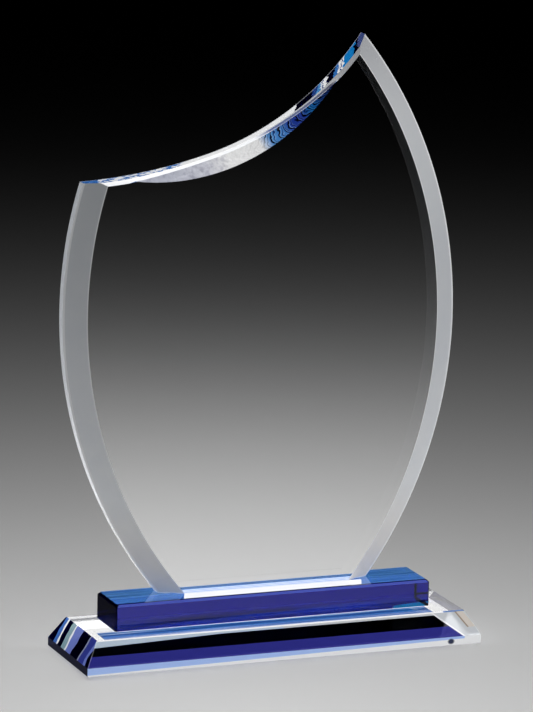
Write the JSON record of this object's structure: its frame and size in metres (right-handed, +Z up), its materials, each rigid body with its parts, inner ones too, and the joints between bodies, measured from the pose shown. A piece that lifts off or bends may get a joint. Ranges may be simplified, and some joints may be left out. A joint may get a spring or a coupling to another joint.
{
  "type": "crystal award",
  "caption": "Free-standing clear crystal award: a leaf-shaped bevelled plate with a concave rising top, bonded on a blue riser bar and a slope-sided clear base slab.",
  "frame": {"origin": "middle of the base slab's length and depth, at table level under the bumper feet", "axes": "+Z up, +X along the length towards the peak's side, -Y the bevelled front"},
  "size_m": [0.1933, 0.054, 0.2787],
  "materials": {
    "clear_crystal": "polished",
    "blue_crystal": "polished",
    "adhesive_film": "clear, cured",
    "clear_bumper": "clear, smooth"
  },
  "bodies": {
    "root": {"crystal_plate": "clear_crystal", "plate_bond": "adhesive_film", "riser_block": "blue_crystal", "riser_bond": "adhesive_film", "base_slab": "clear_crystal", "foot_front_left": "clear_bumper", "foot_front_right": "clear_bumper", "foot_rear_left": "clear_bumper", "foot_rear_right": "clear_bumper"}
  },
  "joints": []
}
